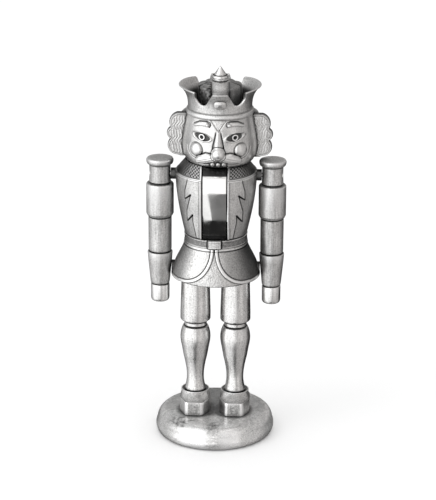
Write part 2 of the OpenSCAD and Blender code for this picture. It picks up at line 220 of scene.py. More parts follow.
def facing_r(z):
    bend, top_r = 182.6, 19.1
    upper = FACING_R + (top_r - FACING_R) * (z - bend) / (FACING_TOP - bend)
    return np.where(z < bend, jacket_r(z) - RECESS, upper)


def skirt_r(z):
    t = np.clip((BELT_LOW - z) / (BELT_LOW - HEM_Z), 0, 1)
    return SKIRT_TOP_R + (HEM_R - SKIRT_TOP_R) * np.sin(pi / 2 * t) ** 1.5


def head_r(z):
    below = CHIN_R + (HEAD_R - CHIN_R) * bulge(HEAD_WIDE_Z - z, HEAD_WIDE_Z - HEAD_Z)
    above = HEAD_R - BROW_IN * np.clip((z - HEAD_WIDE_Z) / (HEAD_TOP - HEAD_WIDE_Z), 0, 1) ** 1.2
    return np.where(z < HEAD_WIDE_Z, below, above)


def crown_r(z):
    t = np.clip((z - CROWN_FOOT_Z) / (RIM_Z - CROWN_FOOT_Z), 0, 1)
    return CROWN_FOOT_R + (RIM_R - CROWN_FOOT_R) * t**2.6


# --- meshes ---
def loft(levels, closed=False, caps=True, wear_and_light=None):
    """Shell through loops of points: levels is (loops, points in a loop, 3).
    closed joins the last loop to the first.
    wear_and_light, one number a point, runs from -1 for black patina and painted shade to 1 for worn bright
    metal and painted highlights."""
    levels = np.asarray(levels)
    n, m, _ = levels.shape
    rows = n if closed else n - 1
    i, j = np.meshgrid(np.arange(rows), np.arange(m), indexing="ij")
    up, right = (i + 1) % n, (j + 1) % m
    faces = np.stack([i * m + j, i * m + right, up * m + right, up * m + j], -1).reshape(-1, 4).tolist()
    if caps and not closed:
        faces += [list(range(m - 1, -1, -1)), list(range((n - 1) * m, n * m))]
    wear_and_light = np.broadcast_to(0.0 if wear_and_light is None else wear_and_light, (n, m)).reshape(-1)
    return levels.reshape(-1, 3), faces, wear_and_light


def both(levels, wear_and_light):
    """A shell on the +X side of the slot and its mirror image."""
    return [loft(levels, wear_and_light=wear_and_light), loft(levels * [-1, 1, 1], wear_and_light=wear_and_light)]


def placed(name, data):
    made = bpy.data.objects.new(name, data)
    bpy.context.scene.collection.objects.link(made)
    return made


def turned(outline, centre=(0, 0), segments=144, dark=(), bright=()):
    """Solid of revolution. Its outline of [r, z] starts and ends on the axis.
    dark and bright hold (z, half width)."""
    wear_and_light = np.zeros(len(outline))
    for z, width in bright:
        wear_and_light += 0.7 * ridge(outline[:, 1] - z, width)
    for z, width in dark:
        wear_and_light -= 1.6 * ridge(outline[:, 1] - z, width)
    a = np.arange(segments) * 2 * pi / segments
    levels = around(outline[:, :1], a, outline[:, 1:]) + [*centre, 0]
    return loft(levels, caps=False, wear_and_light=np.clip(wear_and_light, -1, 1)[:, None])


def piece(name, shells, material, node, sharp=32, body=FIGURE, mirror=False, shift=0):
    """One object of closed shells, in metres, that rides on a body and stands for a CAD node."""
    faces, start = [], 0
    for shell_vertices, shell_faces, _ in shells:
        faces += [[k + start for k in face] for face in shell_faces]
        start += len(shell_vertices)
    vertices = (np.concatenate([shell[0] for shell in shells]) + [shift, 0, 0]) * MM
    wear_and_light = np.clip(np.concatenate([shell[2] for shell in shells]), -1, 1)
    if mirror:
        vertices = vertices * [-1, 1, 1]
    mesh = bpy.data.meshes.new(name)
    mesh.from_pydata(vertices.tolist(), [], faces)
    mesh.attributes.new("wear_and_light", "FLOAT", "POINT").data.foreach_set("value", wear_and_light)
    bm = bmesh.new()
    bm.from_mesh(mesh)
    bmesh.ops.remove_doubles(bm, verts=bm.verts, dist=1e-6)
    bmesh.ops.dissolve_degenerate(bm, edges=bm.edges, dist=1e-7)
    bmesh.ops.recalc_face_normals(bm, faces=bm.faces)
    bm.to_mesh(mesh)
    bm.free()
    mesh.shade_smooth()
    mesh.set_sharp_from_angle(angle=radians(sharp))
    mesh.materials.append(material)
    made = placed(name, mesh)
    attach(made, body)
    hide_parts(node)


# --- node trees ---
class Nodes:
    """Short calls for building a node tree. A socket in place of a value makes a link."""

    def __init__(self, tree):
        self.tree = tree
        tree.nodes.clear()

    def add(self, kind, *values, out=0, **settings):
        made = self.tree.nodes.new("ShaderNode" + kind)
        for key, value in settings.items():
            setattr(made, key, value)
        for index, value in enumerate(values):
            self.put(made, index, value)
        return made.outputs[out]

    def output(self, kind, value):
        self.put(self.tree.nodes.new("ShaderNode" + kind), 0, value)

    def put(self, made, index, value):
        if isinstance(value, bpy.types.NodeSocket):
            self.tree.links.new(value, made.inputs[index])
        elif value is not None:
            made.inputs[index].default_value = value

    def named(self, kind, **values):
        """As add, with the inputs given by name."""
        made = self.tree.nodes.new("ShaderNode" + kind)
        for key, value in values.items():
            self.put(made, key.replace("_", " "), value)
        return made.outputs[0]

    def math(self, operation, a, b=None, clamp=False):
        return self.add("Math", a, b, operation=operation, use_clamp=clamp)

    def plus(self, a, b, clamp=False):
        return self.math("ADD", a, b, clamp)

    def times(self, a, b):
        return self.math("MULTIPLY", a, b)

    def place(self, *scale):
        """The object's own coordinates, scaled."""
        return self.add("Mapping", self.add("TexCoord", out=3), (0, 0, 0), (0, 0, 0), scale)

    def ramp(self, value, start, end, low_value=0.0, high_value=1.0):
        return self.add("MapRange", value, start, end, low_value, high_value, interpolation_type="SMOOTHSTEP")

    def mix(self, share, a, b, blend="MIX"):
        made = self.tree.nodes.new("ShaderNodeMix")
        made.data_type, made.blend_type = "RGBA", blend
        for index, value in ((0, share), (6, a), (7, b)):
            self.put(made, index, value)
        return made.outputs[2]

    def noise(self, place, scale, detail=2.0, rough=0.5):
        return self.add("TexNoise", place, None, scale, detail, rough)


def grey(value, tint=(1, 1, 1)):
    return (value * tint[0], value * tint[1], value * tint[2], 1)


def finish_material(name, build):
    material = bpy.data.materials.new(name)
    material.use_nodes = True
    nodes = Nodes(material.node_tree)
    nodes.output("OutputMaterial", build(nodes))
    return material


PER_MM = (1000, 1000, 1000)
AROUND = (0.08, 0.08, 1.5)   # brush marks that run round an upright turned piece
UPRIGHT = (1.3, 1.3, 0.08)   # brush marks that run up and down


def metal(name, tone=0.66, rough=0.36, grain=1.0, brush=UPRIGHT, brushed=0.5, patina=0.9, specks=0.3,
          reach=0.004, shine=0.35, rub=None, metallic=1.0):
    """Antique metal: bright where it is worn and on painted highlights, black in the recesses and under
    painted shade, with a fine grain and brush marks.
    brush is the marks' frequency per mm along each axis, and reach how far a recess is felt, in metres."""

    def build(n):
        in_mm, along = n.place(*PER_MM), n.place(*(1000 * k for k in brush))
        clouds = n.noise(in_mm, 0.09, 3.0)
        fine = n.noise(in_mm, 1.15, 3.0, 0.65)
        marks = n.noise(along, 1.0, 4.0, 0.7)
        # the pieces' own wear and dark joints, together with the shade and highlights some pieces paint into
        # the colour
        wear_and_light = n.add("Attribute", out=2, attribute_name="wear_and_light")
        open_share = n.add("AmbientOcclusion", (1, 1, 1, 1), reach, samples=6, out=1)
        recess = n.ramp(open_share, 0.88, 0.34)
        edge = n.ramp(n.add("NewGeometry", out=7), 0.505, 0.56)
        bright, dark = grey(tone, (1.0, 0.995, 0.985)), grey(tone * 0.05)
        shade = n.plus(n.ramp(fine, 0.3, 0.7, 1.0 + 0.16 * grain, 1.0 - 0.2 * grain),
                       n.ramp(marks, 0.3, 0.7, 0.22 * brushed, -0.26 * brushed))
        shade = n.times(shade, n.ramp(clouds, 0.3, 0.7, 0.9, 1.05))
        colour = n.mix(1.0, bright, n.add("CombineColor", shade, shade, shade), "MULTIPLY")
        speck = n.times(n.ramp(fine, 0.6, 0.7), specks)
        colour = n.mix(speck, colour, grey(tone * 0.25))
        rubbed_and_lit = n.math("MAXIMUM", n.times(edge, shine), wear_and_light, clamp=True)
        colour = n.mix(rubbed_and_lit, colour, grey(rub or min(1.0, tone * 1.5)))
        blackened_and_shaded = n.times(wear_and_light, -1.0)
        black = n.math("MAXIMUM", n.times(recess, patina), blackened_and_shaded, clamp=True)
        colour = n.mix(black, colour, dark)
        roughness = n.plus(n.ramp(clouds, 0.3, 0.7, rough - 0.04, rough + 0.05),
                           n.times(n.math("SUBTRACT", marks, 0.5), 0.3 * brushed))
        roughness = n.plus(roughness, n.times(black, 0.25), clamp=True)
        height = n.plus(n.times(fine, 0.6 * grain), n.times(marks, brushed))
        bump = n.named("Bump", Strength=0.5, Distance=0.00004, Height=height)
        return n.named("BsdfPrincipled", Base_Color=colour, Metallic=metallic, Roughness=roughness,
                       Normal=bump)

    return finish_material(name, build)


def felt_material():
    def build(n):
        fibres = n.noise(n.place(*PER_MM), 3.5, 4.0, 0.7)
        bump = n.named("Bump", Strength=0.8, Distance=0.0002, Height=fibres)
        colour = n.mix(fibres, grey(0.02), grey(0.07))
        return n.named("BsdfPrincipled", Base_Color=colour, Roughness=0.95, Sheen_Weight=0.4, Normal=bump)

    return finish_material("felt", build)


CAST = metal("cast_pewter", brushed=0.4, rough=0.4)
SLEEVE = metal("sleeve_pewter", tone=0.6, brushed=0.8, rough=0.45, specks=0.25)
# pewter painted very dark as shade, for the bushes and stops that sit deep in the joints
SHADED_BUSH = metal("shaded_bush_pewter", tone=0.12, brush=AROUND, brushed=0.3, rough=0.4, specks=0.3, shine=0.1)
POLISHED = metal("turned_pewter", tone=0.74, brushed=0.55, rough=0.29, specks=0.35)
PLINTH = metal("plinth_pewter", tone=0.7, brush=(0.35, 0.35, 1.2), brushed=0.9, rough=0.3, specks=0.4,
               patina=0.45, metallic=0.7)
FACE = metal("face_pewter", tone=0.74, brushed=0.2, rough=0.32, grain=0.6, reach=0.003,
             specks=0.12)
GRANULAR = metal("granular_pewter", tone=0.68, brushed=0.3, grain=1.3, rough=0.38, specks=0.5)
DARK = metal("dark_pewter", tone=0.075, brush=AROUND, brushed=0.3, specks=0.2, shine=0.6, rub=0.78)
STEEL = metal("machined_steel", brush=AROUND, brushed=0.6, rough=0.25, patina=0.3, specks=0.0)
CHROME = metal("polished_facing", tone=0.86, brushed=0.02, rough=0.04, grain=0.0,
               patina=0.0, specks=0.0, shine=0.0)
FELT = felt_material()


# --- plinth, boots, legs ---
def make_plinth():
    under, roll, lip = BASE_TOP - 3.4, 6.4, 1.0
    t = np.linspace(0, pi / 2, 14)
    rim = joined(BASE_R - lip - roll * (1 - np.cos(t)), BASE_TOP - roll * (1 - np.sin(t)))
    foot = spline([(BASE_R - 2.3, 0.5), (BASE_R - 1.4, 1.1), (BASE_R - 0.35, 3.4), (BASE_R - 0.05, 5.6),
                   (BASE_R - 0.5, 7.4), tuple(rim[0])], 4)
    outline = np.vstack([[(0, under), (PLATE_R + 0.05, under), (PLATE_R + 0.05, 0.5)], foot[:-1], rim,
                         [(r, BASE_TOP) for r in np.arange(31, 0, -0.5)], [(0, BASE_TOP)]])
    vertices, faces, wear_and_light = turned(outline, segments=360)
    x, y, z = vertices.T
    turn, radius = np.degrees(np.arctan2(x, -y)), np.hypot(x, y)
    outside, shoulder = smooth(26, 33, radius), smooth(23, 28, radius) * smooth(37.6, 35.5, radius)
    blotch = noise(vertices, 2.2, 31) + 0.8 * noise(vertices * [1, 1, 2.5], 0.8, 32)
    # painted highlights on the rim either side of its front, and mottled dark patches of painted reflection
    # at its middle and further left
    lit = smooth(-40, -28, turn) * smooth(-3, -9, turn) + 0.9 * smooth(5, 13, turn) * smooth(34, 22, turn)
    dark_reflection = smooth(-9, -3, turn) * smooth(17, 8, turn) + smooth(-60, -48, turn) * smooth(-24, -32, turn)
    # painted shade on the top round the boots, between them and towards the back
    boot_y, boot_reach = (TOE_Y + HEEL_Y) / 2, (HEEL_Y - TOE_Y) / 2
    away = (np.hypot((np.abs(x) - LEG_X) / BOOT_HALF, (y - boot_y) / boot_reach) - 1) * BOOT_HALF
    near = smooth(4.5, 0, away) + 0.8 * smooth(10, 7, np.abs(x)) * smooth(-17, -12, y)
    near = np.maximum(np.clip(near, 0, 1), 0.35 * smooth(-12, 4, y))
    wear_and_light = wear_and_light - 0.8 * (z > BASE_TOP - 0.3) * np.clip(near, 0, 1)
    wear_and_light = wear_and_light + outside * (0.7 * lit * (1 - 0.5 * shoulder) - 0.12 * blotch * smooth(-30, -50, turn))
    wear_and_light = wear_and_light - shoulder * dark_reflection * (0.22 + 0.6 * blotch)
    piece("plinth", [(vertices, faces, wear_and_light)], PLINTH, "base")


def boot_levels():
    """Loops of one boot round its own ankle axis, from the sole to the dished cup at the top."""
    a = circle(240)
    toe, corner, side_front = -TOE_Y, 5.6, 6.6
    run = np.array([BOOT_HALF - corner, toe - side_front])
    turn = math.degrees(math.atan2(run[1], run[0]))
    reach = (corner * run[1] + toe * run[0]) / np.hypot(*run)
    flats = [(0, toe), (90, BOOT_HALF), (270, BOOT_HALF), (180, HEEL_Y), (turn, reach), (-turn, reach),
             (142, 10.4), (-142, 10.4)]
    sharp = 420
    sole = sharp / np.log(sum(np.exp(sharp * np.cos(a - radians(t)) / d) for t, d in flats))
    cup, toe_cap_z = 9.25, 24.3
    # height, scale, share of the round cup in the shape, wear_and_light
    tops = [(BASE_TOP, 0.985, 0, 0), (BASE_TOP + 0.5, 1, 0, 0)]
    tops += [(z, 0.998, 0, 0) for z in np.linspace(BASE_TOP + 1, 23.2, 14)]
    tops += [(23.6, 0.993, 0, 0), (24.1, 0.985, 0, 0), (24.5, 0.972, 0, 0.5), (24.5, 0.96, 0.01, -0.2),
             (24.42, 0.952, 0.02, -0.9), (24.6, 0.942, 0.06, -0.3), (26.0, 0.95, 0.40, 0),
             (27.4, 0.975, 0.8, 0), (28.3, 0.998, 1.0, 0), (28.9, 1.0, 1.0, 0.2), (BOOT_TOP, 0.965, 1.0, 0.3),
             (BOOT_TOP - 0.15, 0.92, 1.0, 0), (28.5, 0.87, 1.0, -0.4), (28.2, 0.76, 1.0, -0.9)]
    z, scale, cupped, wear_and_light = np.array(tops, float).T[:, :, None]
    levels = around(scale * ((1 - cupped) * sole + cupped * cup), a, z) + [LEG_X, 0, 0]
    block = (levels[..., 2] < toe_cap_z) & (levels[..., 1] < 0)
    across = np.abs(levels[..., 0] - LEG_X)
    mottle = noise(levels, 0.9, 41) + 0.6 * noise(levels * [1, 1, 3], 1.2, 42)
    wear_and_light = wear_and_light + block * (0.85 * smooth(3.8, 4.4, across) * smooth(6.9, 6.2, across)
                            - smooth(4.3, 3.8, across) * (0.25 + 0.35 * mottle))
    return levels, wear_and_light


def leg_outline():
    calf = spline([(8.3, 73.6), (9.4, 70.3), (9.88, 66.5), (9.6, 62.9), (8.85, 58.9), (7.85, 53.2),
                   (6.62, 47.5), (5.75, 41.8), (5.6, 37), (6.05, 33.2), (6.75, 30.2), (6.9, 28.6)])
    upper = rounded([(0, LEG_TOP), (9.25, LEG_TOP), (9.3, 104), (LEG_R, 84), (LEG_R, 78.4, 1.3),
                     (7.2, 77.7, 0.3), (6.6, 77.1, 0.2), (7.3, 76.8, 0.3), (7.4, 74.9, 0.4), (6.9, 74.4, 0.2),
                     (7.4, 74.15, 0.2), (8.3, 73.6)], steps=6)
    return np.vstack([upper[:-1], calf, [(0, 28.6)]])


def make_legs():
    levels, wear_and_light = boot_levels()
    for side in SIDES:
        mirror = side == "right"
        piece(side + "_boot_casting", [loft(levels, wear_and_light=wear_and_light)], GRANULAR, side + "_boot", 24, mirror=mirror)
        leg = turned(leg_outline(), (LEG_X, 0), dark=[(77.4, 0.45), (74.3, 0.4), (28.9, 0.5)],
                     bright=[(76.0, 0.7)])
        piece(side + "_leg_turning", [leg], POLISHED, side + "_leg", mirror=mirror)


# --- skirt ---
FLAP = (22.7, 133.0, 22.3)   # centre and radius of each rounded coat front, seen square on
COAT_T = 0.85


def coat_depth(x, z):
    """Distance in from the edge of the coat: above 0 on the coat, below 0 on the tunic under it."""
    side = np.abs(x)
    arc = FLAP[2] - np.hypot(side - FLAP[0], z - FLAP[1])
    upper = np.where(z > FLAP[1], side - 0.4, -9)
    past = np.where(side > FLAP[0], 9, -9)
    return np.minimum(np.maximum(np.maximum(arc, upper), past), z - HEM_Z + 0.2)


def make_skirt():
    a = np.linspace(-pi, pi, 900, endpoint=False)
    z_out = np.linspace(BELT_LOW, HEM_Z, 120)
    outer_r = skirt_r(z_out)
    roof_z, top_z, wall = 118, 122, 3.5
    inner_z = np.linspace(HEM_Z + 0.4, roof_z, 14)
    inner_r = skirt_r(inner_z) - wall
    lip = [(HEM_R - 0.5, HEM_Z), (HEM_R - 1.6, HEM_Z), (inner_r[0] + 0.4, HEM_Z)]
    outline = np.vstack([[(0, top_z), (18.05, top_z), (18.05, BELT_LOW), (19.4, BELT_LOW)],
                         joined(outer_r, z_out), lip, joined(inner_r, inner_z), [(0, roof_z)]])
    r, z = np.repeat(outline[:, :1], len(a), 1), np.repeat(outline[:, 1:], len(a), 1)
    rows = slice(4, 4 + len(z_out))
    x = r[rows] * np.sin(a)
    front = np.cos(a) > 0
    depth = np.where(front, coat_depth(x, z[rows]), np.minimum(9, z[rows] - HEM_Z + 0.2))
    on_coat = smooth(-0.12, 0.12, depth)
    piping = bulge(depth - 1.0, 1.0) * (depth > 0)
    wear_and_light = np.zeros((len(outline), len(a)))
    bead = bulge(BELT_LOW - 0.9 - z[rows], 0.65)
    points = around(r[rows], a, z[rows])
    granular = noise(points, 0.55) * 0.10 + noise(points, 0.3, 1) * 0.05
    height = -COAT_T * (1 - on_coat) + on_coat * (0.42 * piping - 0.30 * ridge(depth - 2.15, 0.22))
    height += 0.35 * bead + granular * np.where(depth > 2.4, 0.45, np.where(depth < 0, 1.0, 0.1))
    r[rows] += height * smooth(BELT_LOW, BELT_LOW - 0.3, z[rows])
    wear_and_light[rows] = 0.75 * piping * smooth(0.1, 0.6, depth) + 0.6 * bead - 1.1 * ridge(depth - 2.25, 0.3)
    wear_and_light[rows] -= 0.9 * ridge(depth + 0.2, 0.25) + 0.9 * ridge(BELT_LOW - 1.9 - z[rows], 0.3)
    # painted shade: darker at the skirt's sides and on the figure's left, away from the key light
    shaded = 0.5 * smooth(0.5, 0.95, np.abs(np.sin(a))) + 0.4 * smooth(0.05, 0.45, np.sin(a))
    wear_and_light[rows] -= shaded * (depth > 2.4)
    piece("coat_skirt", [loft(around(r, a, z), caps=False, wear_and_light=wear_and_light)], GRANULAR, "skirt", 50)


# --- jacket ---
LAPEL = [(17.1, 181.5), (19.1, 172.4), (19.2, 166.4), (15.3, 170.2), (17.9, 158.6), (17.6, 151.0),
         (14.0, 156.4), (13.9, 151.5), (11.8, 140.6)]


def half_loops(zs, radii, segments, inner=None, relief=None):
    """D-shaped loops on the +X side of the slot, with their wear.
    inner is the radius of a round inner wall."""
    loops, wear_and_light_rows = [], []
    share = np.linspace(0, 1, segments)
    for z, radius in zip(zs, radii):
        start = math.asin(SLOT_HALF / radius)
        a = start + share * (pi - 2 * start)
        r, wear_and_light = np.full(segments, radius, float), np.zeros(segments)
        if relief is not None:
            height, wear_and_light = relief(r * np.sin(a), np.cos(a), z, r)
            r = r + height
        outer = joined(np.maximum(r * np.sin(a), SLOT_HALF), -r * np.cos(a), z)
        if inner is None:
            t = np.linspace(0, 1, 24)[1:-1, None]
            wall = outer[-1] * (1 - t) + outer[0] * t
        else:
            turn = math.asin(SLOT_HALF / inner)
            b = np.linspace(pi - turn, turn, 60)
            wall = around(inner, b, z)
        loops.append(np.concatenate([outer, wall]))
        wear_and_light_rows.append(np.concatenate([wear_and_light, np.full(len(wall), -0.9)]))
    return np.array(loops), np.array(wear_and_light_rows)


def inside(x, z, points):
    """True where (x, z) lies on the slot's side of the lapel line."""
    hit = np.zeros(np.shape(x), bool)
    outline = points + [(0, points[-1][1]), (0, points[0][1])]
    for (ax, az), (bx, bz) in zip(outline, outline[1:] + outline[:1]):
        crosses = (az > z) != (bz > z)
        slope = (bx - ax) / (bz - az) if bz != az else 0
        hit ^= crosses & (x < ax + (z - az) * slope)
    return hit


def jacket_relief(x, facing, z, r):
    front = facing > 0
    height_z = np.full_like(x, z)
    depth = line(x, height_z, LAPEL)
    barbs = np.minimum(*(stroke(x, height_z, LAPEL[k:k + 2], [0.2, 0.8]) for k in (2, 5)))
    within = np.where(inside(x, z, LAPEL), depth, -depth)
    height = 0.34 * smooth(-0.15, 0.15, within) - 0.34 * ridge(depth, 0.3) - 0.5 * ridge(barbs, 0.6)
    wear_and_light = -1.15 * ridge(depth, 0.36) - 1.3 * ridge(barbs, 0.65) + 0.22 * ridge(within - 0.8, 0.35)
    wear_and_light -= 0.22 * smooth(0.2, -0.4, within)
    height, wear_and_light = np.where(front, height, 0.0), np.where(front, wear_and_light, -0.1)
    edge = x - SLOT_HALF
    bead = np.where(x < 14, bulge(edge - 0.6, 0.6), 0)
    groove = np.where(x < 14, ridge(edge - 1.5, 0.22), 0)
    below_collar = z - COLLAR_LOW + 0.5
    height = height + 0.42 * bead - 0.2 * groove + 0.3 * ridge(below_collar, 0.35)
    foot = ridge(z - BELT_TOP - 0.3, 0.5)
    wear_and_light = wear_and_light + 0.55 * bead - 0.45 * groove + 0.8 * ridge(below_collar, 0.45) - 1.2 * foot
    return height, np.clip(wear_and_light, -1, 1)


def make_torso():
    fine = np.linspace(BELT_TOP, COLLAR_LOW, 190)
    jacket, jacket_wear = half_loops(fine, jacket_r(fine), 300, relief=jacket_relief)
    steps = [(SPIGOT_LOW, SPIGOT_R), (BELT_LOW, SPIGOT_R), (BELT_LOW, 19.2), (BELT_TOP, 19.2)]
    lower, lower_wear = half_loops([z for z, r in steps], [r for z, r in steps], 300)
    neck, neck_wear = half_loops([COLLAR_LOW, COLLAR_TOP - 0.1], [NECK_R, NECK_R], 300)
    half = np.concatenate([lower, jacket, neck])
    wear_and_light = np.concatenate([lower_wear, jacket_wear, neck_wear])
    a = math.asin((SLOT_HALF + 0.05) / SPIGOT_R)
    b = np.concatenate([np.linspace(-a, a, 20), np.linspace(pi - a, pi + a, 20)])
    floor = np.array([around(SPIGOT_R, b, z) for z in (SPIGOT_LOW, SLOT_FLOOR)])
    piece("jacket", both(half, wear_and_light) + [loft(floor, wear_and_light=-0.9)], CAST, "torso", 40)


BUCKLE_HALF = 4.6


def make_belt():
    a = circle(720)
    z = np.concatenate([[BELT_LOW], np.linspace(BELT_LOW, BELT_TOP, 34), [BELT_TOP]])
    rim = ridge(z - BELT_LOW - 0.55, 0.3) + ridge(z - BELT_TOP + 0.55, 0.3)
    base_r = BELT_R - 0.32 + 0.3 * rim - 0.25 * (ridge(z - BELT_LOW, 0.15) + ridge(z - BELT_TOP, 0.15))
    base_r[[0, -1]] = 19.25
    r = np.repeat(base_r[:, None], len(a), 1)
    points = around(r, a, z[:, None])
    grain = noise(points, 0.5, 3) * 0.09 + noise(points, 0.3, 4) * 0.05
    grain *= (1 - np.clip(rim, 0, 1))[:, None]
    r[1:-1] += grain[1:-1]
    field = smooth(0.5, 1.1, np.minimum(z - BELT_LOW, BELT_TOP - z))[:, None]
    wear_and_light = -0.62 * field + 1.6 * grain - 0.9 * ridge(z - BELT_LOW, 0.25)[:, None]
    wear_and_light = wear_and_light - 1.2 * (np.cos(a) > 0) * ridge(np.abs(np.sin(a)) * BELT_R - BUCKLE_HALF - 0.15, 0.4)
    wear_and_light[[0, -1]] = -1
    piece("belt_strap", [loft(around(r, a, z[:, None]), closed=True, wear_and_light=wear_and_light)], GRANULAR, "belt")


def make_buckle():
    low_z, high_z, back = BELT_LOW + 0.1, BELT_TOP - 0.1, BELT_R - 0.3
    half = BUCKLE_HALF / BELT_R
    a = np.linspace(-half, half, 60)
    loops, wear_and_light_rows = [], []
    for z in np.linspace(low_z, high_z, 34):
        edge = np.minimum(np.minimum(z - low_z, high_z - z), (half - np.abs(a)) * BELT_R)
        r = BELT_R + 0.25 + 0.5 * bulge(1 - np.clip(edge / 0.5, 0, 1), 1)
        r -= 0.28 * smooth(0.9, 1.15, edge)
        front = around(r, a, z)
        front[..., :2] += noise(front, 0.45, 6)[:, None] * 0.05
        loops.append(np.concatenate([front, around(back, a[::-1], z)]))
        end = ridge((half - np.abs(a)) * BELT_R, 0.6)
        wear_and_light_rows.append(np.concatenate([0.02 - 1.8 * end, np.full(len(a), -1.0)]))
    piece("buckle_plate", [loft(loops, wear_and_light=wear_and_light_rows)], GRANULAR, "belt_buckle", 40)


def collar_relief(x, facing, z, r):
    a = np.arccos(np.clip(facing, -1, 1))
    along, up = a * r, (z - COLLAR_LOW) * 1.3
    pitch = 2.4
    weave = np.maximum(*(np.abs(np.sin(pi * across / pitch)) for across in (along + up, along - up)))
    frame_edge = np.minimum(x - SLOT_HALF, (z - COLLAR_LOW) * 1.2)
    bead = bulge(frame_edge - 0.6, 0.6)
    field = smooth(1.25, 1.5, frame_edge)
    cut = smooth(0.92, 1.0, weave)
    hatch = (0.2 + 0.8 * smooth(1.2, 0.6, a)) * cut
    height = 0.28 * bead - field * (0.02 + 0.14 * (1 - cut))
    return height, np.clip(0.9 * bead + field * (hatch - 0.12), -1, 1)


def make_collar():
    zs = np.linspace(COLLAR_LOW, COLLAR_TOP, 64)
    share = (zs - COLLAR_LOW) / (COLLAR_TOP - COLLAR_LOW)
    radii = CHEST_R + (COLLAR_TOP_R - CHEST_R) * share**1.08
    half, wear_and_light = half_loops(zs, radii, 420, inner=BORE_R, relief=collar_relief)
    piece("collar_halves", both(half, wear_and_light), DARK, "collar", 40)


# --- jaw ---
def make_facing():
    zs = np.linspace(FACING_LOW, FACING_TOP, 150)
    x = np.linspace(-FACING_HALF, FACING_HALF, 41)
    loops = []
    for z in zs:
        front = joined(x, x * x / 150 + 0.6 - facing_r(z), z)
        behind = joined(x[::-1], 2.3 - facing_r(z), z)
        loops.append(np.concatenate([front, behind]))
    # the strip is painted black above its bend, as shade under the head, and painted dark at its foot, as the
    # belt's shadow
    black_z, foot_z = 183.4, FACING_LOW + 3.2
    dark = np.maximum(smooth(black_z, black_z + 0.3, zs), smooth(foot_z, foot_z - 0.6, zs))
    piece("jaw_mirror_strip", [loft(loops, wear_and_light=-dark[:, None])], CHROME, "jaw_facing", 40, JAW)


def make_lever():
    zs = np.linspace(FACING_TOP, FACING_LOW, 30)
    front = [(float(-facing_r(z) + 2.2), float(z)) for z in zs]
    back = [(-8, FACING_LOW), (-6, 152), (4, 160.7), (14, 161.2), (14, 175.6), (4, 178.5),
            (-6, FACING_TOP)]
    side = rounded(front + back + front[:1], 0.8, 3)[:-1]
    widths = np.array([-1, -0.97, 0.97, 1]) * (FACING_HALF - 0.05)
    inset = np.array([0.35, 0, 0, 0.35])
    middle = side.mean(0)
    levels = []
    for x, shrink in zip(widths, inset):
        loop = side + (middle - side) / np.hypot(*(middle - side).T)[:, None] * shrink
        levels.append(joined(x, *loop.T))
    block = loft(levels)
    # the handle's middle line: y, z, half thickness, half width
    path = spline([(9, 168.2, 7.6, 7.35), (16, 168.2, 7.2, 7.35), (23, 168.2, 6.4, 7.3),
                   (28.3, 166.8, 5.3, 7.2), (32.0, 163.2, 4.1, 7.0), (34.0, 157.5, 3.1, 6.6),
                   (34.4, 150, 2.7, 6.0), (34.1, 140, 2.4, 5.6), (33.8, 129, 2.2, 5.9), (34.0, 118, 2.1, 7.2),
                   (34.6, 108, 2.0, 9.3), (35.4, 100, 1.8, 10.3), (36.6, 94.8, 1.6, 9.2),
                   (37.3, HANDLE_LOW + 0.5, 1.2, 6.6), (37.5, HANDLE_LOW, 0.5, 4.5)], 8)
    a = circle(64)
    squarish = 2 / 3.4
    across, through = squared(np.cos(a), squarish), squared(np.sin(a), squarish)
    loops = []
    step = np.gradient(path[:, :2], axis=0)
    step /= np.hypot(*step.T)[:, None]
    for (y, z, thick, wide), (dy, dz) in zip(path, step):
        y_loop = np.minimum(y - dz * thick * through, HANDLE_Y)
        loops.append(joined(wide * across, y_loop, z + dy * thick * through))
    piece("jaw_lever_casting", [block, loft(loops)], CAST, "jaw_lever", body=JAW)


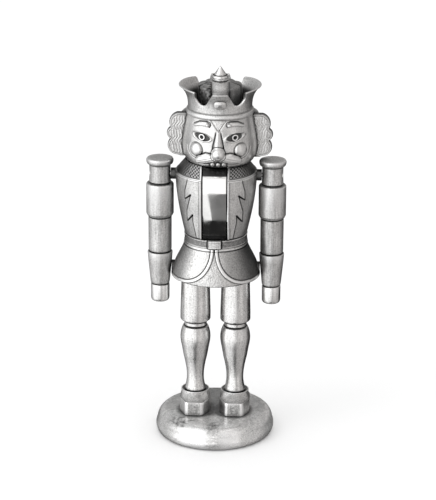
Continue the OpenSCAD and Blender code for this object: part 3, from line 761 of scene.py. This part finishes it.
# --- head ---
def face_relief(x, z):
    """Height and wear of the doll's face over the turned head, seen square on."""
    s = np.abs(x)
    v_line = ridge(line(s, z, [(5.9, 221), (0.2, 212.9)]), 0.3)
    brow = stroke(s, z, [(15.6, 215.3), (11.8, 217.0), (8.2, 217.3), (6.6, 216.7)], [0.5, 1.3, 1.6, 1.3])
    knob = oval(s, z, (6.75, 216.7), (0.95, 0.95))
    brow_line = [(15.9, 216.4), (11.8, 218.7), (7.2, 218.9), (5.2, 218.1), (4.9, 216.6), (5.7, 215.3)]
    outline = ridge(line(s, z, brow_line), 0.3)
    h = -0.32 * v_line + 1.15 * dome(brow**2) + 0.5 * dome(knob) - 0.4 * outline
    wear_and_light = -0.6 * v_line - 0.9 * outline + 0.3 * dome(brow**2)
    wear_and_light -= 0.6 * ridge((np.sqrt(knob) - 1.15) * 0.95, 0.25)
    lid = 208.9 + 0.15 * (s - 10.2)
    eye = (np.abs((s - 10.3) / 5.1) ** 1.7 + np.abs((z - lid) / 2.4) ** 1.7) ** (1 / 1.7)
    opening = smooth(1.02, 0.86, eye)
    h += 0.45 * ridge((eye - 1.16) * 3.0, 0.42) - 1.1 * opening
    wear_and_light -= 0.9 * opening
    iris = np.hypot(s - 10.6, z - 208.75)
    ring = smooth(2.15, 1.85, iris)
    h = h * (1 - ring) + 0.15 * ring - 1.0 * smooth(1.25, 1.0, iris)
    wear_and_light = wear_and_light * (1 - ring) + ring * (0.8 - 2.0 * smooth(1.3, 1.0, iris))
    wear_and_light -= 0.7 * ridge(line(s, z, [(5.4, 209.4), (7.6, 211.0), (11.0, 211.5), (15.6, 211.0)]), 0.25)
    cheek = np.sqrt(oval(s, z, (14.1, 200.4), (3.9, 4.3)))
    h += 2.1 * dome(cheek**2) - 0.3 * ridge((cheek - 1.05) * 4.4, 0.35)
    wear_and_light -= 0.75 * ridge((cheek - 1.05) * 4.4, 0.32) * smooth(17.5, 14.5, s)
    wear_and_light += 0.3 * dome(cheek**2)
    smile = ridge(line(s, z, [(19.9, 201.5), (19.4, 198.2), (17.4, 195.4), (14.6, 194.2)]), 0.32)
    h, wear_and_light = h - 0.34 * smile, wear_and_light - 0.6 * smile
    down = smooth(213.4, 201.5, z)
    width = 1.25 + 1.9 * down
    bridge = (0.6 + 2.4 * down) * dome((s / width) ** 2, 0.55) * (z < 213.6) * (z > 198)
    sides = ridge(s - width - 0.3, 0.42) * smooth(213.4, 211, z) * smooth(198.5, 200.5, z)
    h, wear_and_light = h - 0.5 * sides, wear_and_light - 1.0 * sides
    nose = np.sqrt(oval(x, z, (0, 199.0), (4.35, 4.6)))
    ball = 5.2 * dome(nose**2)
    nose_ring = ridge((nose - 1.06) * 4.4, 0.35)
    lobe = stroke(s, z, [(2.2, 195.9), (7.4, 195.2), (10.6, 194.3), (12.2, 193.6)], [2.8, 3.8, 3.3, 2.3])
    strands = np.sin(2 * pi * (z + 0.34 * s) / 1.5)
    moustache = (2.7 + 0.1 * strands) * dome(lobe**2, 0.5)
    edge = ridge((lobe - 1.05) * 3.4, 0.33)
    h -= 0.35 * edge
    wear_and_light = np.where(lobe < 0.98, 0.25 - 0.12 * strands, wear_and_light - 0.9 * edge)
    wear_and_light = np.where(nose < 1, 0.3, wear_and_light - 1.1 * nose_ring)
    mouth = smooth(6.2, 5.7, s) * smooth(193.6, 193.2, z)
    teeth, gum = np.full_like(h, -0.6), np.full_like(h, -0.75)
    for middle in (-3.6, 0, 3.6):
        tooth = np.abs((x - middle) / 1.5) ** 2.5 + np.abs((z - 191.2) / 1.9) ** 2.5
        teeth = np.maximum(teeth, -0.6 + 1.7 * dome(tooth, 0.45))
        gum = np.maximum(gum, np.where(tooth < 0.75, 0.25, -0.75))
    h, wear_and_light = h * (1 - mouth) + teeth * mouth, wear_and_light * (1 - mouth) + gum * mouth
    for feature in (bridge, moustache, ball):
        h = np.where(feature > 0, np.maximum(h, feature), h)
    return h, np.clip(wear_and_light, -1, 1)


def make_head():
    fine_to = radians(78)
    front = np.linspace(-fine_to, fine_to, 440)
    back = np.linspace(fine_to, 2 * pi - fine_to, 90)[1:-1]
    a = np.concatenate([front, back])
    zs = np.concatenate([[HEAD_Z], np.linspace(HEAD_Z + 0.01, HEAD_TOP, 200)])
    base = head_r(zs)
    base[0] = NECK_REST_R
    r = np.repeat(base[:, None], len(a), 1)
    z = np.repeat(zs[:, None], len(a), 1)
    x = r * np.sin(a)
    faces_front = np.cos(a) > 0.12
    relief, wear_and_light = face_relief(x, z)
    r += np.where(faces_front, relief, 0.0) * smooth(HEAD_Z - 0.1, HEAD_Z + 0.5, z)
    points = around(r, a, z)
    cast = noise(points, 0.8, 11) * 0.025
    inner_v = (np.abs(x) < (z - 212.9) * 0.72) & (np.cos(a) > 0)
    grain = np.where(inner_v, noise(points, 0.55, 12), 0)
    points[..., 0] += (cast + 0.1 * grain) * np.sin(a)
    points[..., 1] -= (cast + 0.1 * grain) * np.cos(a)
    wear_and_light = np.where(faces_front, wear_and_light, 0) + 0.25 * grain - 0.1 * inner_v
    piece("head_casting", [loft(points, wear_and_light=wear_and_light)], FACE, "head", 50, shift=HEAD_X)


# --- hair ---
LOBES = [(HAIR_X - 8.6, 212.6, 7.0), (HAIR_X - 4.4, 205.6, 4.4), (HAIR_X - 6.8, 197.4, 6.3)]


def wing_edge(z):
    """How far out a hair wing reaches at one height."""
    reaches = [cx + math.sqrt(radius**2 - (z - cz) ** 2) for cx, cz, radius in LOBES if abs(z - cz) < radius]
    return max(reaches + [25.5])


def strands(across, z, pitch=1.75):
    wave = across + 0.8 * np.sin(0.62 * z) + 0.35 * np.sin(1.27 * z + 1)
    return np.sin(2 * pi * wave / pitch) + 0.35 * np.sin(2 * pi * wave / (pitch * 0.43) + 1)


def make_hair():
    half_t, fan = 2.9, 64
    zs = np.linspace(HAIR_LOW + 0.02, HAIR_TOP - 0.02, 160)
    ends = np.array([wing_edge(z) for z in zs])
    outline = [(18, zs[0])] + list(zip(ends[::2], zs[::2])) + [(ends[-1], zs[-1]), (18, zs[-1])]
    flip = [-1, 1, 1]
    loops, wear_and_light_rows = [], []
    for z, x_out in zip(zs, ends):
        head = float(head_r(np.array(z)))
        x_in = head - 1.0
        x = x_in + (x_out - x_in) * (1 - (1 - np.linspace(0, 1, fan)) ** 1.8)
        depth = line(x, np.full(fan, z), outline)
        thick = half_t * bulge(1 - np.clip(depth / 1.1, 0, 1), 1)
        field = smooth(1.9, 2.5, depth)
        relief = 0.3 * ridge(depth - 0.8, 0.35) - 0.25 * ridge(depth - 1.5, 0.25)
        relief = (relief + 0.15 * strands(x, z) * field) * smooth(0, 0.8, thick)
        wear_and_light = 0.45 * ridge(depth - 0.8, 0.26) - 0.3 * ridge(depth - 1.5, 0.2) - 0.9 * ridge(depth, 0.32)
        wear_and_light += 0.16 * strands(x, z) * field - 0.9 * ridge(x - head - 0.2, 0.5)
        wing_front = joined(x, -thick - relief, z)
        close = bulge(1 - min(1, (z - HAIR_LOW) / 2.4), 1)
        notch = 0.7 * ridge(z - 209.0, 0.8) + 0.7 * ridge(z - 201.6, 0.8)
        shell = head + 0.6 + (2.9 - notch) * close
        join = math.asin(min(0.9, half_t / shell))
        x_join, y_join = shell * math.cos(join), shell * math.sin(join)
        y_back = np.where(x > x_join, thick + relief, y_join)
        wing_back = joined(np.maximum(x, x_join), y_back, z)[::-1]
        b = np.linspace(join, pi - join, 260)
        ease = smooth(join, join + 0.1, b) * smooth(pi - join, pi - join - 0.1, b)
        r = shell + 0.2 * strands(b * shell, z) * close * ease
        arc = joined(r * np.cos(b), r * np.sin(b), z)
        inner = np.linspace(pi + 0.1, -0.1, 50)
        inside_arc = joined(x_in * np.cos(inner), x_in * np.sin(inner), z)
        loops.append(np.concatenate([wing_front, wing_back, arc, wing_back[::-1] * flip,
                                     wing_front[::-1] * flip, inside_arc]))
        arc_wear = 0.16 * strands(b * shell, z)
        wear_and_light_rows.append(np.concatenate([wear_and_light, wear_and_light[::-1], arc_wear, wear_and_light, wear_and_light[::-1], 0 * inner]))
    piece("hair_casting", [loft(loops, wear_and_light=wear_and_light_rows)], CAST, "hair", 55, shift=HEAD_X)


# --- crown ---
CROWN_TURN = radians(2.5)
# height of the crown's edge against its reach off the middle
FRONT_EDGE = [(0, 237.5), (4.6, 237.4), (5.1, 237.1), (5.5, 236.4), (7.0, 233.4), (8.3, 230.8), (9.4, 229.2),
              (10.9, 228.6), (12.4, 228.9), (13.9, 229.9), (15.2, 231.5), (15.9, 233.0), (16.05, 236.8),
              (16.35, 237.6)]
BACK_EDGE = [(0, 238.4), (5.7, 238.3), (6.1, 237.8), (6.6, 236.2), (7.8, 232.6), (9.0, 230.2), (10.6, 229.6),
             (12.0, 230.4), (13.2, 232.2), (14.3, 234.2), (15.0, 235.8), (15.5, 237.0), (16.35, 237.8)]


def crown_columns():
    """Each upright line of the crown's wall: its reach off the middle, its share of the way from there
    round to the side, 1 for front or -1 for back, and the height of the wall.
    Lines beside the notches keep the same reach at every height."""
    columns = []
    for edge, facing in ((FRONT_EDGE, 1), (BACK_EDGE, -1)):
        x = np.concatenate([np.linspace(0, 4.4, 7), np.arange(4.5, 16.36, 0.1)])
        heights = np.interp(x, *zip(*edge))
        columns += [(reach, 0.0, facing, z) for reach, z in zip(x, heights)]
        for share in np.linspace(0, 1, 34)[1:]:
            ease = (RIM_Z - edge[-1][1]) * (1 - share) ** 3
            columns.append((edge[-1][0], share, facing, RIM_Z - ease))
    return columns


def crown_angle(column, z):
    reach, share, facing, _ = column
    angle = np.arcsin(np.clip(reach / crown_r(z), 0, 1))
    angle = angle + (pi / 2 - angle) * share
    return angle if facing > 0 else pi - angle


def make_crown():
    def order(column):
        return float(crown_angle(column, 232.0))

    half = sorted(crown_columns(), key=order)
    half = half[:1] + [c for before, c in zip(half, half[1:]) if order(c) - order(before) > 1e-5]
    wall_z, lip_h = 224, 0.85
    foot = [(20.7, HEAD_TOP - 0.55), (21.45, 220.0), (21.75, 220.9), (21.8, 221.6), (21.5, 222.5),
            (20.9, 223.1), (20.55, 223.4), (20.6, 223.9)]
    foot_wear = [-0.6, -0.3, 0.3, 0.5, 0.2, -0.5, -0.5, -0.2]
    floor = [(18.6, 223.6), (17.0, 222.4), (2.2, 222.4), (2.2, HEAD_TOP + 0.02), (19.5, HEAD_TOP + 0.02)]
    loops, wear_and_light_rows = [], []
    for side, columns in ((1, half), (-1, half[-2:0:-1])):
        for column in columns:
            edge = column[3]
            z = wall_z + (edge - lip_h - wall_z) * np.linspace(0, 1, 34)
            b = np.linspace(0, pi, 9)[1:-1]
            tip_r = float(crown_r(edge)) - CROWN_WALL / 2
            lip = joined(tip_r + CROWN_WALL / 2 * np.cos(b) * 0.98, edge - lip_h + lip_h * np.sin(b))
            inner = joined(crown_r(z) - CROWN_WALL, z)[::-1]
            section = np.vstack([foot, joined(crown_r(z), z), lip, inner, floor])
            turn = side * crown_angle(column, np.clip(section[:, 1], wall_z, RIM_Z)) + CROWN_TURN
            # the inner wall darkens lower down, patina and painted shade deep in the crown, with more painted
            # shade on the back petals near the middle; the lip is worn a little bright all round, with a
            # painted highlight along the notches
            behind = column[2] < 0 and column[1] == 0 and column[0] < 8
            deep = -0.85 * smooth(234.5, 230.5, z[::-1]) - (0.4 if behind else 0.06)
            rubbed_and_lit = 0.6 if 225 < edge < 235 else 0.1
            wear_and_light_rows.append(np.concatenate([foot_wear, rubbed_and_lit * 0.6 * ridge(edge - 1.2 - z, 0.5),
                                         np.full(len(lip), rubbed_and_lit), deep, np.full(len(floor), -0.9)]))
            loops.append(around(section[:, 0], turn, section[:, 1]))
    piece("crown_casting", [loft(loops, closed=True, wear_and_light=wear_and_light_rows)], CAST, "crown", 42, shift=HEAD_X)


def make_boss():
    a = circle(72)
    squarish = 0.75
    across, upward = squared(np.sin(a), squarish), squared(np.cos(a), squarish)
    loops = []
    for t in np.linspace(0, 1, 20):
        reach = math.cos(t * pi / 2)
        x, z = 4.1 * reach * across, 229.8 + 3.0 * reach * upward
        y = -(crown_r(z) - 0.35 + 2.3 * math.sin(t * pi / 2) ** 0.9)
        loops.append(joined(x, y, z))
    loops = np.array(loops)
    back = loops[:1] * [1, 0, 1] + [0, -19.6, 0]
    wear_and_light = np.array([[-1.0], [-1.0], [-0.8], [-0.4]] + [[0.0]] * 17)
    vertices, faces, wear_and_light = loft(np.concatenate([back, loops]), wear_and_light=wear_and_light)
    c, d = math.cos(CROWN_TURN), math.sin(CROWN_TURN)
    shell = (vertices @ np.array([[c, d, 0], [-d, c, 0], [0, 0, 1]]), faces, wear_and_light)
    piece("crown_boss", [shell], FACE, "crown_gem", 50, shift=HEAD_X)


FRONT_LOBE_HALF = 6.0


def make_cap():
    a = circle(360)
    side = rounded([(0, CAP_LOW), (12.6, CAP_LOW), (13.6, 227), (14.3, 233), (14.1, 238.3, 1.9),
                    (5.0, CAP_TOP, 0.6), (0, CAP_TOP)], 1.0, 10)
    run = np.concatenate([[0], np.cumsum(np.hypot(*np.diff(side, axis=0).T))])
    fine = np.union1d(run, np.arange(0, run[-1], 0.5))
    side = joined(*(np.interp(fine, run, column) for column in side.T))
    signed = (a + pi) % (2 * pi) - pi
    gaps = [0, pi / 7, 3 * pi / 7, pi]
    levels, wear_and_light_rows = [], []
    for r, z in side:
        first = min(math.asin(FRONT_LOBE_HALF / max(r, FRONT_LOBE_HALF + 0.1)), 1.1)
        turn = np.interp(np.abs(signed), [0, first, gaps[2], pi], gaps)
        lobe = np.abs(np.cos(3.5 * turn)) ** 0.35
        away = smooth(0.38, 0.5, turn)
        share = smooth(4.6, 7.5, r) * (1 - 0.6 * smooth(227, CAP_LOW, z))
        rr = r * (1 - 0.13 * share * (1 - lobe))
        slope = 2.4 * smooth(6, 14, r) * (1 - away) * smooth(228, 236, z)
        zz = z - 0.9 * share * (1 - lobe) * smooth(232, 238, z) - slope
        level = around(rr, a + CROWN_TURN, zz)
        levels.append(level)
        # painted shade: the lobes away from the front are darkened as if the petals shadow them, mottled on
        # the figure's right, and the front lobe is darkened just below its top
        mottle = 0.45 * noise(level, 1.3, 21) * (level[:, 0] < 0)
        step = 0.45 * (1 - away) * smooth(239.2, 238.2, z)
        wear_and_light_rows.append(-0.95 * share * (1 - lobe) ** 1.5 - step
                     - away * share * (0.5 + 0.12 * smooth(239, 236, z) + mottle))
    piece("crown_puffed_cap", [loft(levels, caps=False, wear_and_light=wear_and_light_rows)], CAST, "crown_cap", 50, shift=HEAD_X)


def make_finial():
    c = CAP_TOP
    outline = rounded([(0, c), (4.6, c, 0.3), (5.25, c + 0.5, 0.5), (5.3, c + 1.6, 0.3),
                       (5.05, c + 1.85, 0.15), (5.25, c + 2.1, 0.3), (5.1, c + 3.3, 0.5),
                       (4.4, c + 3.65, 0.2), (3.85, c + 3.65, 0.1), (3.85, c + 4.0, 0.25),
                       (0.5, TIP - 0.6, 0.4), (0, TIP)], 0.3, 5)
    bright = [(c + 0.9, 0.5), (c + 2.7, 0.6), (c + 6, 1.6), (c + 8, 1.2)]
    vertices, faces, wear_and_light = turned(outline, dark=[(c, 0.35), (c + 1.85, 0.1), (c + 3.65, 0.2)], bright=bright)
    # painted highlight down the middle of the tip's cone, seen from the front and back, and painted shade
    # along its sides
    flank = np.abs(vertices[:, 0]) / np.maximum(np.hypot(vertices[:, 0], vertices[:, 1]), 0.01)
    cone = smooth(c + 4.0, c + 4.4, vertices[:, 2])
    wear_and_light = wear_and_light + cone * (0.9 * smooth(0.8, 0.6, flank) - 1.2 * smooth(0.74, 0.9, flank))
    piece("crown_finial", [(vertices, faces, wear_and_light)], POLISHED, "finial", shift=HEAD_X)


# --- arms ---
def make_arms():
    top, cuff, hand = EPAULETTE_LOW, CUFF_TOP, HAND_TOP
    cap = rounded([(0, top), (7.3, top, 0.2), (8.2, top + 0.35, 0.5), (8.7, top + 1.5, 1.0),
                   (8.8, top + 2.9, 0.9), (8.3, EPAULETTE_TOP - 0.5, 0.6), (7.4, EPAULETTE_TOP - 0.2, 0.6),
                   (4.0, EPAULETTE_TOP, 3.0), (0, EPAULETTE_TOP)], steps=7)
    sleeve = rounded([(0, top), (6.9, top, 0.2), (6.85, top - 1.2, 0.8), (6.75, 178.5, 6), (7.0, 172.9, 0.5),
                      (6.4, 172.3, 0.2), (6.4, 171.7, 0.1), (8.35, 171.7, 0.4), (BAND_R, 170.9, 0.5),
                      (BAND_R, 151.4, 1.5), (8.0, 149.7, 0.3), (7.2, 149.5, 0.2), (7.15, 148.9, 0.2),
                      (7.55, 148.3, 0.4), (7.5, 127.3, 1), (7.35, cuff + 0.75, 0.3), (6.7, cuff + 0.5, 0.1),
                      (6.7, cuff, 0.1), (0, cuff)], steps=6)
    cuffs = rounded([(0, cuff), (7.4, cuff, 0.2), (8.15, cuff - 0.55, 0.35), (7.75, cuff - 6, 3),
                     (6.3, hand + 1.6, 1), (6.1, hand + 0.75, 0.25), (5.3, hand + 0.45, 0.1),
                     (5.3, hand, 0.1), (0, hand)], steps=6)
    fist = rounded([(0, hand), (5.5, hand, 0.1), (6.1, hand - 0.5, 0.35), (6.05, HAND_LOW, 2.4),
                    (0, HAND_LOW)], steps=10)
    parts = [("epaulette", cap, SLEEVE, [(top, 0.35)], [(top + 3.3, 0.9)]),
             ("arm", sleeve, SLEEVE, [(172.1, 0.42), (149.1, 0.45), (cuff + 0.3, 0.35), (top, 0.3)],
              [(171.0, 0.7)]),
             ("cuff", cuffs, SLEEVE, [(hand + 0.4, 0.3), (cuff, 0.2)], [(cuff - 0.8, 0.7)]),
             ("hand", fist, POLISHED, [(hand, 0.25)], [(hand - 0.7, 0.35)])]
    for side in SIDES:
        for node, outline, material, dark, bright in parts:
            vertices, faces, wear_and_light = turned(outline, (ARM_X, 0), dark=dark, bright=bright)
            # darker on the epaulette's flat top, and painted shade down the side of the arm that faces the
            # jacket
            wear_and_light = wear_and_light - 0.3 * smooth(EPAULETTE_TOP - 0.3, EPAULETTE_TOP - 0.1, vertices[:, 2])
            wear_and_light = wear_and_light - 0.5 * smooth(0.75, 1.0, (ARM_X - vertices[:, 0]) / BAND_R)
            name = f"{side}_{node}"
            piece(name + "_turning", [(vertices, faces, wear_and_light)], material, name, body="arm_" + side,
                  mirror=side == "right")


# --- the frame's own pieces ---
def dress_frame():
    """Materials for the CAD nodes that are shown as they are."""
    finishes = {"steel": STEEL, "dark_pewter": DARK, "felt": FELT, "polished": CHROME, "pewter": CAST}
    slots = {part["node"]: part["material_slot"] for part in frame["record"]["subparts"]}
    for name, node in frame["nodes"].items():
        node.data.materials.clear()
        node.data.materials.append(SHADED_BUSH if "bush" in name or "stop" in name else finishes[slots[name]])
        for polygon in node.data.polygons:
            polygon.use_smooth = True
        node.data.set_sharp_from_angle(angle=radians(30))


# --- studio ---
EDGE_TURN, EDGE_SLANT = -9.9, 0.24   # where the card mirrored in the jaw's strip ends, and its edge's slant
CARD_TOP, CARD_LOW = 26.3, 40.9      # how far below level that card's top and bottom are, in degrees


def make_world():
    """White for the lens and for the floor's light; for reflections, soft panels round the figure."""
    world = bpy.data.worlds.new("studio")
    bpy.context.scene.world = world
    world.use_nodes = True
    n = Nodes(world.node_tree)
    split = n.add("SeparateXYZ", n.add("TexCoord", out=0)).node
    x, y, z = split.outputs
    turn = n.times(n.math("ARCTAN2", x, n.times(y, -1.0)), 180 / pi)
    rise = n.times(n.math("ARCSINE", z), 180 / pi)

    def window(value, start, end, soft):
        rising = n.ramp(value, start - soft, start + soft)
        return n.times(rising, n.ramp(value, end - soft, end + soft, 1.0, 0.0))

    # for each reach in height, with its softness: panels as turn from, to, softness, brightness
    panels = {
        (-CARD_TOP, 70, 0.3): [(-90, -24, 8, 1.5), (26, 62, 8, 0.82), (62, 106, 8, 0.5)],
        (-CARD_TOP, 75, 0.3): [(-138, -90, 8, 0.55)],
        (-CARD_TOP, 14, 0.3): [(-24, 9.5, 3, 1.35), (9.5, 26, 3, 0.4)],
        (14, 70, 8): [(-24, 9.5, 6, 0.9), (9.5, 26, 4, 0.7)],
        (-CARD_LOW, -CARD_TOP, 0.3): [(-92, -19, 2, 1.2), (-19, EDGE_TURN, 0.35, 1.0), (-135, -92, 8, 0.5),
                                      (EDGE_TURN, 13, 0.35, 0.18), (16, 108, 3, 0.52), (-12, -4, 5, 0.07)],
        (-62, -CARD_LOW, 0.4): [(-125, -19, 1, 0.7), (13, 115, 2, 0.5)],
        (6, 48, 5): [(-86, -14, 6, 0.4)],
        (2, 62, 6): [(-181, -138, 8, 0.5), (106, 181, 10, 0.42)],
        (-91, -72, 4): [(-181, 181, 1, 0.8)],
        (66, 91, 8): [(-181, 181, 1, 0.8)],
    }
    total = 0.02
    skewed = n.plus(turn, n.times(n.plus(rise, CARD_TOP), EDGE_SLANT))
    for heights, row in panels.items():
        for start, end, soft, power in row:
            sideways = window(skewed if EDGE_TURN in (start, end) else turn, start, end, soft)
            total = n.plus(n.times(n.times(sideways, window(rise, *heights)), power), total)
    tint = n.mix(n.ramp(turn, -20, 40), (1, 1, 1, 1), (1.0, 0.97, 0.955, 1))
    colour = n.mix(1.0, tint, n.add("CombineColor", total, total, total), "MULTIPLY")
    glossy = n.add("LightPath").node.outputs["Is Glossy Ray"]
    shown = n.mix(glossy, (1.06, 1.06, 1.06, 1), colour)
    n.output("OutputWorld", n.add("Background", shown, 1.0))


def make_floor():
    bpy.ops.mesh.primitive_grid_add(x_subdivisions=8, y_subdivisions=8, size=8)
    floor = bpy.context.object
    floor.name = "studio_floor"
    floor.visible_glossy = False

    def build(n):
        return n.add("BsdfDiffuse", n.mix(n.noise(n.place(30, 30, 30), 1.0), grey(0.955), grey(0.965)))

    floor.data.materials.append(finish_material("pale_floor", build))


def make_key_light():
    data = bpy.data.lights.new("soft_key", "AREA")
    data.shape, data.size, data.energy = "DISK", 0.9, 3.0
    key = placed("soft_key", data)
    key.location = (-0.9, -0.5, 1.5)
    key.rotation_mode = "QUATERNION"
    key.rotation_quaternion = (Vector((0, 0, 0.1)) - key.location).to_track_quat("-Z", "Y")
    key.visible_glossy = False


def make_camera():
    elevation, azimuth, roll = radians(19.6), radians(2.7), radians(0.35)
    distance, aim = 1.5157, Vector((0.0014, 0, 0.1262))
    data = bpy.data.cameras.new("camera")
    data.lens, data.sensor_width, data.clip_start, data.clip_end = 167.8, 36, 0.05, 50
    camera = placed("camera", data)
    level = math.cos(elevation)
    back = Vector((math.sin(azimuth) * level, -math.cos(azimuth) * level, math.sin(elevation)))
    camera.location = aim + back * distance
    camera.rotation_euler = (-back).to_track_quat("-Z", "Y").to_euler()
    camera.rotation_euler.rotate_axis("Z", roll)
    bpy.context.scene.camera = camera


for make in (dress_frame, make_plinth, make_legs, make_skirt, make_torso, make_belt, make_buckle,
             make_collar, make_facing, make_lever, make_head, make_hair, make_crown, make_boss,
             make_cap, make_finial, make_arms, make_world, make_floor, make_key_light, make_camera):
    make()
bpy.context.scene.view_settings.view_transform = "Standard"
